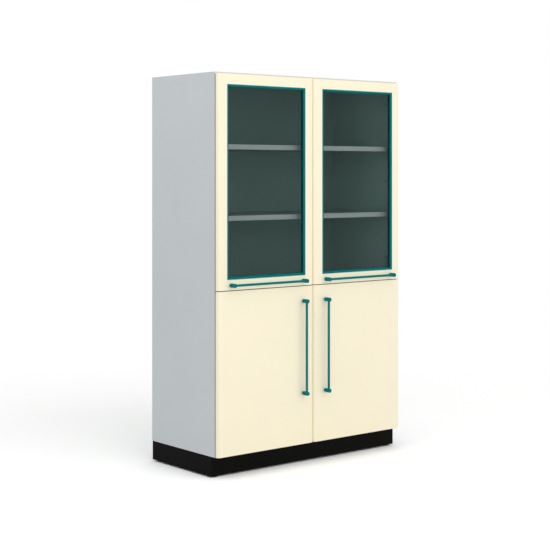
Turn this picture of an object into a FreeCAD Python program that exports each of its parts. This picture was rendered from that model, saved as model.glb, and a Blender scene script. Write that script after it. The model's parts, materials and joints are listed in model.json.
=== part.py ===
import FreeCAD, Part
import itertools
import math
import os

from FreeCAD import Vector

# Free-standing laboratory storage cabinet: a board carcass on a plinth, glazed doors above,
# solid doors below, all on concealed single-pivot cup hinges. Millimetres, +Z up, front to -Y.
# The origin lies on the floor under the middle of the whole object.

# Carcass
WIDTH = 1200.0            # over the side panels
DEPTH = 508.0             # front edge to rear edge of the side panels
HEIGHT = 1900.0           # floor to top
BASE_HEIGHT = 100.0       # floor to the underside of the carcass
BOARD = 18.0              # carcass and plinth board
BACK_SHEET = 8.0          # back panel, let into grooves
BACK_INSET = 31.0         # rear edge of the sides to the back panel
GROOVE_DEPTH = 8.0
GROOVE_PLAY = 0.2         # room round the back panel in its grooves

# Shelves and their pins
SHELF_BOARD = 24.0
SHELF_PLAY = 1.0          # each end of a shelf to the side panel, and its rear to the back panel
SHELF_SETBACK = 30.0      # carcass front to the front edge of a shelf
LOW_CLEAR = 315.5         # middle panel to the low upper shelf
HIGH_CLEAR = 315.0        # low upper shelf to the high upper shelf
SHELF_CLEAR = 360.0       # bottom panel to the lower shelf
PIN_R = 2.5
PIN_IN = 9.0              # pin in the side panel
PIN_OUT = 11.0            # tab under the shelf
PIN_COLLAR_R = 4.5
PIN_COLLAR = 0.6
PIN_TAB_HALF = 4.0        # half width of the flat tab
PIN_HOLE_PLAY = 0.05
PIN_HOLE_PITCH = 32.0
PIN_HOLES_EACH_WAY = 1    # spare holes above and below the one in use
PIN_FRONT = 70.0          # carcass front to the front row of holes
PIN_REAR = 60.0           # rear row of holes to the back panel

# Cam fittings that join the level panels to the sides
CAM_R = 7.5
CAM_DEPTH = 12.5
CAM_REACH = 34.0          # panel end to the cam's axis
CAM_INSET = 60.0          # front and rear cams to the panel's edges
CAM_PLAY = 0.05
BOLT_R = 3.5
BOLT_IN_SIDE = 11.0

# Plinth and levelling feet
PLINTH_SETBACK = 27.0     # carcass front to plinth front
PLINTH_REAR_INSET = 5.0   # rear edge of the sides to the back of the plinth
FOOT_SHOW = 8.0           # floor to the underside of the plinth
BLOCK = 60.0              # side of the corner block that carries a foot
FOOT_IN_BLOCK = 16.0      # foot axis to the inner faces of the plinth boards
PAD_R = 22.5
PAD_RIM = 3.5             # height of the pad's upright rim
PAD_NECK_R = 13.0
PAD_BEVEL = 1.0
PAD_FLOOR = 3.0           # pad left under the stem
STEM_R = 5.0
STEM_PLAY = 0.05
STEM_HOLD = 39.0          # thread still in the block with the foot right out
FOOT_TRAVEL = 15.0        # how far a foot screws out

# Doors
DOOR_BOARD = 19.0
DOOR_GAP = 3.5            # carcass front to the back of a closed door
SIDE_REVEAL = 1.5         # outer face of the side panel to the edge of a door
MEETING_GAP = 3.0         # between doors side by side
TIER_GAP = 4.0            # between the upper and the lower doors
TOP_REVEAL = 8.5          # top of the carcass to the top of the upper doors
BOTTOM_REVEAL = 0.5       # underside of the carcass to the bottom of the lower doors
SPLIT_HEIGHT = 775.0      # underside of the carcass to the line between the doors
EDGE_ROUND = 16.0         # front corners of the postformed upright edges
BACK_ROUND = 1.5          # rear corners of the same edges

# Glazing of the upper doors
STILE_SHOW = 55.0         # door edge to the outside of the trim
TOP_RAIL_SHOW = 49.0
BOTTOM_RAIL_SHOW = 49.5
TRIM_LAP = 4.0            # trim on the face of the door, outside the cut-out
TRIM_FACE = 6.5           # flat front of the trim
TRIM_SPLAY = 5.0          # how far the sloping reveal closes in on the glass
TRIM_PROUD = 1.5
TRIM_BEVEL = 0.8
GLASS_SETBACK = 4.5       # door face to the glass
GLASS = 4.0
GLASS_PLAY = 1.0          # glass edge to the cut-out

# Bar handles
HANDLE_CENTRES = 450.0
HANDLE_STANDOFF = 30.0    # door face to the axis of the bar
HANDLE_INSET = 71.0       # meeting edge of a lower door to its bar
HANDLE_DROP = 72.0        # top of a lower door to the upper post of its handle
HANDLE_RAIL = 23.5        # bottom of the upper door to the axis of its bar
BAR_R = 6.0
POST_R = 10.0
POST_TIP = 12.0           # axis of the bar to the end of a post
POST_ROUND = 4.0          # eased ends of a post
POST_NECK_R = 6.0         # neck that stands on the door
POST_NECK = 4.0           # length of the neck
SOCKET_PLAY = 0.05
SOCKET_END = 0.3          # end of the bar to the bottom of its socket

# Concealed hinges
HINGE_END = 110.0         # end of the door to the nearest hinge
CUP_R = 17.5
CUP_WALL = 0.8
CUP_EDGE = 3.0            # door edge to the cup
CUP_FLOOR = 7.5           # door left in front of the cup
CUP_RIM = 0.5             # rim on the back of the door, beyond the cup
CUP_FLANGE = 1.0
CUP_EAR_HALF = 31.0       # half length of the flange with its two ears
CUP_EAR_WIDTH = 15.0
HINGE_PIN_R = 1.5
HINGE_PIN_PLAY = 0.05
EYE_R = 2.8
EYE_PLAY = 0.4            # eye to the wall of the cup
EYE_FLOOR_PLAY = 0.9      # eye to the floor of the cup
EYE_FILLET = 0.7          # eye to the bar of the goose neck
HOOK_HALF = 4.5           # half height of the goose neck
HOOK_BAR = 2.4
NECK = 3.0
NECK_PLAY = 1.2           # neck to the swinging edge of the door
NECK_BEND = 5.0           # outside of the bend
NECK_BEND_IN = 3.5        # inside of the bend
ARM_LENGTH = 62.0         # carcass front to the rear end of the arm
ARM_HEEL = 5.0            # carcass front to the front of the arm's channel
ARM_DEEP = 9.0
ARM_HALF = 8.0
ARM_WALL = 1.6
PLATE = 2.5
PLATE_LINE = 37.0         # carcass front to the line of the plate's screws
PLATE_HALF = 24.0
PLATE_WING = 15.0
PLATE_SPINE_HALF = 9.0
PLATE_FRONT = 18.0        # carcass front to the front of the plate
PLATE_SCREW_R = 2.6
PLATE_SCREW_PITCH = 32.0
BOSS_PLAY = 0.4           # plate's raised boss to the channel of the arm
BOSS_LENGTH = 24.0

# Door buffers and magnetic catches
BUFFER_R = 3.5
BUFFER_PLAY = 0.3         # buffer to the closed door
BUFFER_INSET = 110.0      # meeting edge to the buffer
CATCH_LENGTH = 46.0
CATCH_HEIGHT = 13.0
CATCH_DEEP = 16.0
CATCH_INSET = 12.0        # meeting edge to the catch
CATCH_PLATE = 1.5
CATCH_PLATE_MARGIN = 3.0  # catch beyond its plate at each end
CATCH_PLAY = 0.3          # magnet to the plate of the closed door
CATCH_ROUND = 2.0

# Places that follow from the sizes above
HANDLE_REACH = HANDLE_STANDOFF + POST_TIP
OVERALL_DEPTH = DEPTH + DOOR_GAP + DOOR_BOARD + HANDLE_REACH
REAR = OVERALL_DEPTH / 2
FRONT = REAR - DEPTH
DOOR_BACK = FRONT - DOOR_GAP
DOOR_FACE = DOOR_BACK - DOOR_BOARD
LEFT = -WIDTH / 2
INNER_LEFT = LEFT + BOARD
BACK_FACE = REAR - BACK_INSET - BACK_SHEET
TOP_UNDERSIDE = HEIGHT - BOARD
BOTTOM_TOP = BASE_HEIGHT + BOARD
GROOVE_LOW = BOTTOM_TOP - GROOVE_DEPTH
GROOVE_HIGH = TOP_UNDERSIDE + GROOVE_DEPTH
SPLIT = BASE_HEIGHT + SPLIT_HEIGHT
MIDDLE_UNDERSIDE = SPLIT - BOARD / 2
MIDDLE_TOP = SPLIT + BOARD / 2

LOW_SHELF = MIDDLE_TOP + LOW_CLEAR
HIGH_SHELF = LOW_SHELF + SHELF_BOARD + HIGH_CLEAR
LOWER_SHELF = BOTTOM_TOP + SHELF_CLEAR
SHELVES = {"upper_shelf_high": HIGH_SHELF, "upper_shelf_low": LOW_SHELF, "lower_shelf": LOWER_SHELF}
PIN_ROWS = (FRONT + PIN_FRONT, BACK_FACE - PIN_REAR)
CAM_ROWS = (FRONT + CAM_INSET, BACK_FACE - CAM_INSET)
LEVEL_PANELS = (BASE_HEIGHT, MIDDLE_UNDERSIDE, TOP_UNDERSIDE)

DOOR_LEFT = LEFT + SIDE_REVEAL
DOOR_RIGHT = -MEETING_GAP / 2
UPPER = (SPLIT + TIER_GAP / 2, HEIGHT - TOP_REVEAL)
LOWER = (BASE_HEIGHT + BOTTOM_REVEAL, SPLIT - TIER_GAP / 2)
GLASS_FACE = DOOR_FACE + GLASS_SETBACK

CUP_DEPTH = DOOR_BOARD - CUP_FLOOR
CUP_BORE_R = CUP_R - CUP_WALL
CUP_X = DOOR_LEFT + CUP_EDGE + CUP_R
EYE_CHORD = math.sqrt(CUP_BORE_R ** 2 - HOOK_HALF ** 2)
PIVOT_X = CUP_X - EYE_CHORD + EYE_PLAY + EYE_R
PIVOT_Y = DOOR_BACK - CUP_DEPTH + CUP_WALL + EYE_FLOOR_PLAY + EYE_R
EDGE_REACH = BACK_ROUND + math.hypot(PIVOT_X - DOOR_LEFT - BACK_ROUND, DOOR_BACK - BACK_ROUND - PIVOT_Y)
RIM_REACH = math.hypot(PIVOT_X - CUP_X + CUP_R + CUP_RIM, DOOR_BACK + CUP_FLANGE - PIVOT_Y)
ARM_SEAT = INNER_LEFT + PLATE
NECK_X = max(PIVOT_X + max(EDGE_REACH, RIM_REACH) + NECK_PLAY, ARM_SEAT)

os.makedirs("parts", exist_ok=True)


def save(name, *solids):
    """Write one node, a single solid or a group of separate solids."""
    shape = solids[0] if len(solids) == 1 else Part.makeCompound(list(solids))
    shape.exportStep(f"parts/{name}.step")


def mirrored(solid):
    """The same piece on the other half of the cabinet."""
    return solid.mirror(Vector(0, 0, 0), Vector(1, 0, 0))


def box(x0, x1, y0, y1, z0, z1):
    return Part.makeBox(x1 - x0, y1 - y0, z1 - z0, Vector(x0, y0, z0))


def rod(radius, start, end):
    """Round bar between two points."""
    axis = end - start
    return Part.makeCylinder(radius, axis.Length, start, axis)


def rounded_face(corners, place):
    """Flat face from corners (a, b, radius), in order; place turns (a, b) into a point in space."""
    tangents = []
    for i, (a, b, radius) in enumerate(corners):
        here = Vector(a, b, 0)
        before = Vector(*corners[i - 1][:2], 0) - here
        after = Vector(*corners[(i + 1) % len(corners)][:2], 0) - here
        before.normalize()
        after.normalize()
        half = before.getAngle(after) / 2
        run = radius / math.tan(half)
        middle = before + after
        middle.normalize()
        crown = here + middle * (radius / math.sin(half) - radius)
        tangents.append((here + before * run, crown, here + after * run, radius))
    edges = []
    for i, (start, crown, end, radius) in enumerate(tangents):
        last_end = tangents[i - 1][2]
        if last_end.distanceToPoint(start) > 1e-6:
            edges.append(Part.makeLine(place(*last_end[:2]), place(*start[:2])))
        if radius > 0:
            edges.append(Part.Arc(place(*start[:2]), place(*crown[:2]), place(*end[:2])).toShape())
    return Part.Face(Part.Wire(edges))


def in_plan(z):
    """Places a profile drawn in plan at height z."""
    return lambda x, y: Vector(x, y, z)


def on_side(x):
    """Places a profile drawn on a side panel, as depth and height, at x."""
    return lambda y, z: Vector(x, y, z)


def spun(corners, centre, axis_turn=None):
    """Solid of revolution about an upright axis, from (radius, height, round) corners."""
    face = rounded_face(corners, lambda r, h: Vector(r, 0, h))
    solid = face.revolve(Vector(0, 0, 0), Vector(0, 0, 1), 360)
    if axis_turn is not None:
        solid.Placement = axis_turn
    solid.translate(centre)
    return solid


TOWARDS_FRONT = FreeCAD.Placement(Vector(0, 0, 0), FreeCAD.Rotation(Vector(1, 0, 0), 90))


def hinge_heights(span):
    """Two hinges near the ends of a door, and one halfway up a tall one."""
    low, high = span
    ends = [low + HINGE_END, high - HINGE_END]
    return ends + [(low + high) / 2] if span == UPPER else ends


def hinge_cup(z):
    """Pressed cup with a rim and two screw ears on the back of the door."""
    centre = Vector(CUP_X, DOOR_BACK, z)
    bottom = Vector(0, -CUP_DEPTH, 0)
    lip = Vector(0, CUP_FLANGE, 0)
    shell = rod(CUP_R, centre + bottom, centre)
    half = CUP_EAR_WIDTH / 2
    ears = [(-half, -CUP_EAR_HALF, half), (half, -CUP_EAR_HALF, half),
            (half, CUP_EAR_HALF, half), (-half, CUP_EAR_HALF, half)]
    flange = rounded_face(ears, lambda x, h: centre + Vector(x, 0, h)).extrude(lip)
    rim = rod(CUP_R + CUP_RIM, centre, centre + lip)
    bore = rod(CUP_BORE_R, centre + bottom + Vector(0, CUP_WALL, 0), centre + lip)
    return shell.fuse([flange, rim]).removeSplitter().cut(bore)


def pivot_rod(radius, z):
    """Rod on the pivot axis of a hinge, as tall as its cup."""
    return rod(radius, Vector(PIVOT_X, PIVOT_Y, z - CUP_R), Vector(PIVOT_X, PIVOT_Y, z + CUP_R))


def hinge_pin(z):
    """Pivot pin across the cup, its ends staked in the cup's wall."""
    pin = pivot_rod(HINGE_PIN_R, z)
    return pin.common(rod(CUP_BORE_R, Vector(CUP_X, DOOR_FACE, z), Vector(CUP_X, DOOR_BACK, z)))


def hinge_arm(z):
    """Goose neck that reaches round the door's edge into the cup, and the channel behind it."""
    left, right = PIVOT_X - EYE_R, PIVOT_X + EYE_R
    low, high = PIVOT_Y - EYE_R, PIVOT_Y + EYE_R
    bar_top = low + HOOK_BAR
    heel = FRONT + ARM_HEEL
    join = heel + ARM_WALL + NECK
    neck_out = NECK_X + NECK
    hook = [(left, high, EYE_R), (left, low, EYE_R), (neck_out, low, NECK_BEND), (neck_out, join, 0),
            (NECK_X, join, 0), (NECK_X, bar_top, NECK_BEND_IN),
            (right, bar_top, EYE_FILLET), (right, high, EYE_R)]
    tall = Vector(0, 0, 2 * HOOK_HALF)
    neck = rounded_face(hook, in_plan(z - HOOK_HALF)).extrude(tall)
    outer = ARM_SEAT + ARM_DEEP
    rear = FRONT + ARM_LENGTH
    bend = ARM_DEEP / 2
    channel = [(ARM_SEAT, heel, 0), (outer, heel, bend), (outer, rear, bend), (ARM_SEAT, rear, 0)]
    arm = rounded_face(channel, in_plan(z - ARM_HALF)).extrude(Vector(0, 0, 2 * ARM_HALF))
    inside = ARM_HALF - ARM_WALL
    hollow = box(ARM_SEAT, outer - ARM_WALL, join, rear - bend, z - inside, z + inside)
    bore = pivot_rod(HINGE_PIN_R + HINGE_PIN_PLAY, z)
    return arm.cut(hollow).fuse(neck).removeSplitter().cut(bore)


def hinge_plate(z):
    """Cross-shaped mounting plate on the side panel, with the boss that the arm clips over."""
    line = FRONT + PLATE_LINE
    front, rear = FRONT + PLATE_FRONT, FRONT + ARM_LENGTH
    wing = PLATE_WING / 2
    spine, tip = PLATE_SPINE_HALF, PLATE_HALF
    bend = wing / 2
    cross = [(front, z - spine, 0), (line - wing, z - spine, 0), (line - wing, z - tip, bend),
             (line + wing, z - tip, bend), (line + wing, z - spine, 0), (rear, z - spine, 0),
             (rear, z + spine, 0), (line + wing, z + spine, 0), (line + wing, z + tip, bend),
             (line - wing, z + tip, bend), (line - wing, z + spine, 0), (front, z + spine, 0)]
    plate = rounded_face(cross, on_side(INNER_LEFT)).extrude(Vector(PLATE, 0, 0))
    half = ARM_HALF - ARM_WALL - BOSS_PLAY
    boss_rear = rear - ARM_DEEP / 2 - BOSS_PLAY
    boss = box(ARM_SEAT, ARM_SEAT + ARM_DEEP - 2 * ARM_WALL, boss_rear - BOSS_LENGTH, boss_rear,
               z - half, z + half)
    plate = plate.fuse(boss).removeSplitter()
    for side in (-1, 1):
        hole = Vector(INNER_LEFT, line, z + side * PLATE_SCREW_PITCH / 2)
        plate = plate.cut(rod(PLATE_SCREW_R, hole, hole + Vector(PLATE, 0, 0)))
    return plate


def door_blank(span):
    """Left door, postformed upright edges, with the recesses for its hinge cups."""
    low, high = span
    front_round = min(EDGE_ROUND, DOOR_BOARD - BACK_ROUND)
    plan = [(DOOR_LEFT, DOOR_FACE, front_round), (DOOR_RIGHT, DOOR_FACE, front_round),
            (DOOR_RIGHT, DOOR_BACK, BACK_ROUND), (DOOR_LEFT, DOOR_BACK, BACK_ROUND)]
    door = rounded_face(plan, in_plan(low)).extrude(Vector(0, 0, high - low))
    for z in hinge_heights(span):
        seat = Vector(CUP_X, DOOR_BACK, z)
        door = door.cut(rod(CUP_R, seat + Vector(0, -CUP_DEPTH, 0), seat))
    return door


def window(margin, y0, y1):
    """Block that fills the glazing cut-out in depth, margin outside the trim's outer edge."""
    low, high = UPPER
    return box(DOOR_LEFT + STILE_SHOW - margin, DOOR_RIGHT - STILE_SHOW + margin, y0, y1,
               low + BOTTOM_RAIL_SHOW - margin, high - TOP_RAIL_SHOW + margin)


def glazing_trim():
    """Trim bevelled on the face of the door, lining the cut-out with a reveal that slopes to the glass."""
    flange = window(0, DOOR_FACE - TRIM_PROUD, DOOR_FACE)
    face_edges = [edge for edge in flange.Edges if edge.BoundBox.YMax < DOOR_FACE - TRIM_PROUD / 2]
    flange = flange.makeChamfer(TRIM_BEVEL, face_edges)
    leg = window(-TRIM_LAP, DOOR_FACE, GLASS_FACE)
    front = DOOR_FACE - TRIM_PROUD
    near = window(-TRIM_FACE, front, GLASS_FACE).BoundBox
    far = window(-TRIM_FACE - TRIM_SPLAY, front, GLASS_FACE).BoundBox
    opening = Part.makeWedge(near.XMin, front, near.ZMin, far.ZMin, far.XMin,
                             near.XMax, GLASS_FACE, near.ZMax, far.ZMax, far.XMax)
    return flange.fuse(leg).removeSplitter().cut(opening)


def handle_post(centre, towards):
    """Round post on a neck, with eased ends and a blind socket for the bar, facing the other post."""
    tip = HANDLE_STANDOFF + POST_TIP
    corners = [(0, 0, 0), (POST_NECK_R, 0, 0), (POST_NECK_R, POST_NECK, 0),
               (POST_R, POST_NECK, POST_ROUND), (POST_R, tip, POST_ROUND), (0, tip, 0)]
    post = spun(corners, centre, TOWARDS_FRONT)
    axis = centre + Vector(0, -HANDLE_STANDOFF, 0)
    return post.cut(rod(BAR_R + SOCKET_PLAY, axis - towards * SOCKET_END, axis + towards * POST_R))


def handle(middle, along):
    """Bar and its two posts, standing on the door face."""
    half = along * (HANDLE_CENTRES / 2)
    out = Vector(0, -HANDLE_STANDOFF, 0)
    bar = rod(BAR_R, middle - half + out, middle + half + out)
    return bar, [handle_post(middle - half, along), handle_post(middle + half, along * -1)]


def catch_corners(margin):
    """Plan of a magnetic catch in width and height from its meeting end and upper face."""
    right = DOOR_RIGHT - CATCH_INSET - margin
    left = DOOR_RIGHT - CATCH_INSET - CATCH_LENGTH + margin
    return [(left, -CATCH_HEIGHT + margin, CATCH_ROUND), (right, -CATCH_HEIGHT + margin, CATCH_ROUND),
            (right, -margin, CATCH_ROUND), (left, -margin, CATCH_ROUND)]


def magnet_catch(panel):
    """Catch under a level panel, its magnet reaching out to the plate on the closed door."""
    face = DOOR_BACK + CATCH_PLATE + CATCH_PLAY
    body = rounded_face(catch_corners(0), lambda x, h: Vector(x, face, panel + h))
    return body.extrude(Vector(0, FRONT + CATCH_DEEP - face, 0))


def catch_plate(panel):
    """Steel plate on the back of a door, facing the catch."""
    plate = rounded_face(catch_corners(CATCH_PLATE_MARGIN), lambda x, h: Vector(x, DOOR_BACK, panel + h))
    return plate.extrude(Vector(0, CATCH_PLATE, 0))


def save_pair(name, make_left):
    """Write the left piece, or group, and its mirror image on the right."""
    solids = make_left if isinstance(make_left, list) else [make_left]
    save(name.format("left"), *solids)
    save(name.format("right"), *[mirrored(solid) for solid in solids])


def back_groove(x0, x1):
    """Room for the back panel, cut into the boards round it."""
    return box(x0, x1, BACK_FACE, BACK_FACE + BACK_SHEET + GROOVE_PLAY, GROOVE_LOW, GROOVE_HIGH)


def side_panel():
    """Left side, grooved for the back panel and bored for shelf pins and cam bolts."""
    side = box(LEFT, INNER_LEFT, FRONT, REAR, BASE_HEIGHT, HEIGHT)
    side = side.cut(back_groove(INNER_LEFT - GROOVE_DEPTH, INNER_LEFT))
    steps = range(-PIN_HOLES_EACH_WAY, PIN_HOLES_EACH_WAY + 1)
    for shelf, y, step in itertools.product(SHELVES.values(), PIN_ROWS, steps):
        mouth = Vector(INNER_LEFT, y, shelf - PIN_R + step * PIN_HOLE_PITCH)
        side = side.cut(rod(PIN_R + PIN_HOLE_PLAY, mouth - Vector(PIN_IN, 0, 0), mouth))
    for underside, y in itertools.product(LEVEL_PANELS, CAM_ROWS):
        mouth = Vector(INNER_LEFT, y, underside + BOARD / 2)
        side = side.cut(rod(BOLT_R + CAM_PLAY, mouth - Vector(BOLT_IN_SIDE, 0, 0), mouth))
    return side


def shelf_pin(y, shelf):
    """Stud in a hole of the side panel, with a collar and a flat tab under the shelf."""
    seat = Vector(INNER_LEFT, y, shelf - PIN_R)
    face = seat.x + PIN_COLLAR
    end = seat.x + PIN_OUT
    stud = rod(PIN_R, seat - Vector(PIN_IN, 0, 0), Vector(face, y, seat.z))
    collar = rod(PIN_COLLAR_R, seat, Vector(face, y, seat.z))
    collar = collar.cut(box(seat.x, face, y - PIN_COLLAR_R, y + PIN_COLLAR_R, shelf, shelf + PIN_COLLAR_R))
    near, far = y - PIN_TAB_HALF, y + PIN_TAB_HALF
    tab = [(face, near, 0), (end, near, PIN_TAB_HALF), (end, far, PIN_TAB_HALF), (face, far, 0)]
    ledge = rounded_face(tab, in_plan(seat.z)).extrude(Vector(0, 0, PIN_R))
    return stud.fuse([collar, ledge]).removeSplitter()


def level_panel(underside, rear):
    """Panel between the sides, bored from below for the cams and from its ends for their bolts."""
    panel = box(INNER_LEFT, -INNER_LEFT, FRONT, rear, underside, underside + BOARD)
    for y in CAM_ROWS:
        end = Vector(INNER_LEFT, y, underside + BOARD / 2)
        bolt_bore = rod(BOLT_R + CAM_PLAY, end, end + Vector(CAM_REACH, 0, 0))
        seat = Vector(INNER_LEFT + CAM_REACH, y, underside)
        cam_bore = rod(CAM_R + CAM_PLAY, seat, seat + Vector(0, 0, CAM_DEPTH))
        bores = bolt_bore.fuse(cam_bore)
        panel = panel.cut([bores, mirrored(bores)])
    return panel


# Side panels, shelf pins and cam fittings
pins = [shelf_pin(y, shelf) for shelf in SHELVES.values() for y in PIN_ROWS]
cams = []
bolts = []
for underside in LEVEL_PANELS:
    for y in CAM_ROWS:
        seat = Vector(INNER_LEFT + CAM_REACH, y, underside)
        cams.append(rod(CAM_R, seat, seat + Vector(0, 0, CAM_DEPTH)))
        mouth = Vector(INNER_LEFT, y, underside + BOARD / 2)
        bolt_end = mouth + Vector(CAM_REACH - CAM_R - CAM_PLAY, 0, 0)
        bolts.append(rod(BOLT_R, mouth - Vector(BOLT_IN_SIDE, 0, 0), bolt_end))
save_pair("side_panel_{}", side_panel())
save("shelf_pins", *pins, *[mirrored(pin) for pin in pins])
save("cam_fittings", *cams, *[mirrored(cam) for cam in cams])
save("cam_bolts", *bolts, *[mirrored(bolt) for bolt in bolts])

# Level panels, back panel and shelves
groove = back_groove(INNER_LEFT, -INNER_LEFT)
save("top_panel", level_panel(TOP_UNDERSIDE, REAR).cut(groove))
save("bottom_panel", level_panel(BASE_HEIGHT, REAR).cut(groove))
save("middle_panel", level_panel(MIDDLE_UNDERSIDE, BACK_FACE))
sheet_left = INNER_LEFT - GROOVE_DEPTH + GROOVE_PLAY
save("back_panel", box(sheet_left, -sheet_left, BACK_FACE, BACK_FACE + BACK_SHEET,
                       GROOVE_LOW + GROOVE_PLAY, GROOVE_HIGH - GROOVE_PLAY))
shelf_left = INNER_LEFT + SHELF_PLAY
for name, underside in SHELVES.items():
    save(name, box(shelf_left, -shelf_left, FRONT + SHELF_SETBACK, BACK_FACE - SHELF_PLAY,
                   underside, underside + SHELF_BOARD))

# Plinth boards, corner blocks and levelling feet
plinth_front = FRONT + PLINTH_SETBACK
plinth_inner = plinth_front + BOARD
plinth_rear = REAR - PLINTH_REAR_INSET
save("plinth_front", box(LEFT, -LEFT, plinth_front, plinth_inner, FOOT_SHOW, BASE_HEIGHT))
save("plinth_back", box(INNER_LEFT, -INNER_LEFT, plinth_rear - BOARD, plinth_rear,
                         FOOT_SHOW, BASE_HEIGHT))
save_pair("plinth_{}", box(LEFT, INNER_LEFT, plinth_inner, plinth_rear, FOOT_SHOW, BASE_HEIGHT))
blocks = []
for place, near, inward in (("front", plinth_inner, 1), ("back", plinth_rear - BOARD, -1)):
    far = near + inward * BLOCK
    block = box(INNER_LEFT, INNER_LEFT + BLOCK, min(near, far), max(near, far), FOOT_SHOW, BASE_HEIGHT)
    axis = Vector(INNER_LEFT + FOOT_IN_BLOCK, near + inward * FOOT_IN_BLOCK, 0)
    stem_low = axis + Vector(0, 0, PAD_FLOOR)
    stem_high = axis + Vector(0, 0, FOOT_SHOW + FOOT_TRAVEL + STEM_HOLD)
    bore = rod(STEM_R + STEM_PLAY, stem_low, stem_high)
    blocks.append(block.cut(bore))
    pad = [(0, 0, 0), (PAD_R - PAD_BEVEL, 0, 0), (PAD_R, PAD_BEVEL, 0), (PAD_R, PAD_RIM, 0),
           (PAD_NECK_R, FOOT_SHOW, 0), (0, FOOT_SHOW, 0)]
    save_pair(f"foot_{place}_" + "{}_pad", spun(pad, axis).cut(bore))
    save_pair(f"foot_{place}_" + "{}_stem", rod(STEM_R, stem_low, stem_high))
save("foot_blocks", *blocks, *[mirrored(block) for block in blocks])

# Hinge halves on the sides, door buffers and magnetic catches
heights = hinge_heights(UPPER) + hinge_heights(LOWER)
arms = [hinge_arm(z) for z in heights]
plates = [hinge_plate(z) for z in heights]
save("hinge_arms", *arms, *[mirrored(arm) for arm in arms])
save("hinge_plates", *plates, *[mirrored(plate) for plate in plates])
buffer_heights = [(TOP_UNDERSIDE + UPPER[1]) / 2, (UPPER[0] + MIDDLE_TOP) / 2,
                  (MIDDLE_UNDERSIDE + LOWER[1]) / 2, (LOWER[0] + BOTTOM_TOP) / 2]
buffers = []
for z in buffer_heights:
    seat = Vector(DOOR_RIGHT - BUFFER_INSET, FRONT, z)
    buffers.append(rod(BUFFER_R, seat + Vector(0, BUFFER_PLAY - DOOR_GAP, 0), seat))
save("door_buffers", *buffers, *[mirrored(stop) for stop in buffers])
catches = [magnet_catch(TOP_UNDERSIDE), magnet_catch(MIDDLE_UNDERSIDE)]
save("magnet_catches", *catches, *[mirrored(catch) for catch in catches])

# Doors with their handles, hinge cups and catch plates
door_middle = (DOOR_LEFT + DOOR_RIGHT) / 2
level_bar = handle(Vector(door_middle, DOOR_FACE, UPPER[0] + HANDLE_RAIL), Vector(1, 0, 0))
upright_middle = LOWER[1] - HANDLE_DROP - HANDLE_CENTRES / 2
upright_bar = handle(Vector(DOOR_RIGHT - HANDLE_INSET, DOOR_FACE, upright_middle), Vector(0, 0, 1))
cut_out = window(-TRIM_LAP, DOOR_FACE, DOOR_BACK)
save_pair("upper_{}_door_frame", door_blank(UPPER).cut(cut_out))
save_pair("lower_{}_door_board", door_blank(LOWER))
save_pair("upper_{}_glazing_trim", glazing_trim())
save_pair("upper_{}_glass", window(-TRIM_LAP - GLASS_PLAY, GLASS_FACE, GLASS_FACE + GLASS))
bead_face = GLASS_FACE + GLASS
bead = window(-TRIM_LAP, bead_face, DOOR_BACK)
sight = window(-TRIM_FACE - TRIM_SPLAY, bead_face, DOOR_BACK)
save_pair("upper_{}_glazing_bead", bead.cut(sight))
for tier, span, (bar, posts), panel in (("upper", UPPER, level_bar, TOP_UNDERSIDE),
                                        ("lower", LOWER, upright_bar, MIDDLE_UNDERSIDE)):
    save_pair(tier + "_{}_handle_bar", bar)
    save_pair(tier + "_{}_handle_posts", posts)
    save_pair(tier + "_{}_hinge_cups", [hinge_cup(z) for z in hinge_heights(span)])
    save_pair(tier + "_{}_hinge_pins", [hinge_pin(z) for z in hinge_heights(span)])
    save_pair(tier + "_{}_catch_plate", catch_plate(panel))
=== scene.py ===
"""Looks of a laboratory storage cabinet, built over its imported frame.

Sizes held by the classes are in millimetres and turn into metres where a mesh is made. As in the
frame, the doors face -Y, +X is on the right and +Z is up.
"""

import json
import logging
import math
from dataclasses import dataclass
from enum import Enum
from functools import cache
from typing import Iterable, Sequence

import bmesh
import bpy
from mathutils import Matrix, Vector

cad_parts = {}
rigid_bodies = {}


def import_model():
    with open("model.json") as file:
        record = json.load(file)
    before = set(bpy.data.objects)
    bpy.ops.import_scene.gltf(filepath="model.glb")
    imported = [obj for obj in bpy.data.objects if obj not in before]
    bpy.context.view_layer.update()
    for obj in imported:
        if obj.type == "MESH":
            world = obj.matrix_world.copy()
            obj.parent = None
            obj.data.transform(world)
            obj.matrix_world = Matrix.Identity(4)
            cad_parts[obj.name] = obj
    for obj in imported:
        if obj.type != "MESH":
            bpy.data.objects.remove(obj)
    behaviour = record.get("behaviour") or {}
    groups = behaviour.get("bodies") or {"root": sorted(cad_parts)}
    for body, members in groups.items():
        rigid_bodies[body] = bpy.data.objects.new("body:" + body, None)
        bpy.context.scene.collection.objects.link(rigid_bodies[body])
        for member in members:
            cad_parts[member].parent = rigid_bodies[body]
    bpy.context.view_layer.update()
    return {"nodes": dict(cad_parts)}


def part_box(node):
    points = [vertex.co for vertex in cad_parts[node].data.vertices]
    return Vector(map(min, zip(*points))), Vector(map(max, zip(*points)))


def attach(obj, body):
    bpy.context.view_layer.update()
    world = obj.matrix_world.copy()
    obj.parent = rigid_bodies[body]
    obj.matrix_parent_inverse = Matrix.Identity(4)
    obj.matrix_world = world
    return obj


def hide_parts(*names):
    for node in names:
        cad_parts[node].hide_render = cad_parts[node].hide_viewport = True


for stray in list(bpy.data.objects):
    bpy.data.objects.remove(stray)
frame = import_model()

MM = 0.001
MM_IN_M = 1000.0
WELD_MM = 0.001
FLAT_ANGLE = math.radians(1.0)
SHARP_ANGLE = math.radians(40.0)
QUARTER_TURN = math.pi / 2.0
EASE_SEGMENTS = 3
EVEN_WEIGHT = 50
WHITE = "#FFFFFF"
LOG = logging.getLogger("cabinet")

# The sRGB curve: a straight toe, then a shifted power.
SRGB_TOE = 0.04045
SRGB_SLOPE = 12.92
SRGB_SHIFT = 0.055
SRGB_POWER = 2.4

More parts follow.
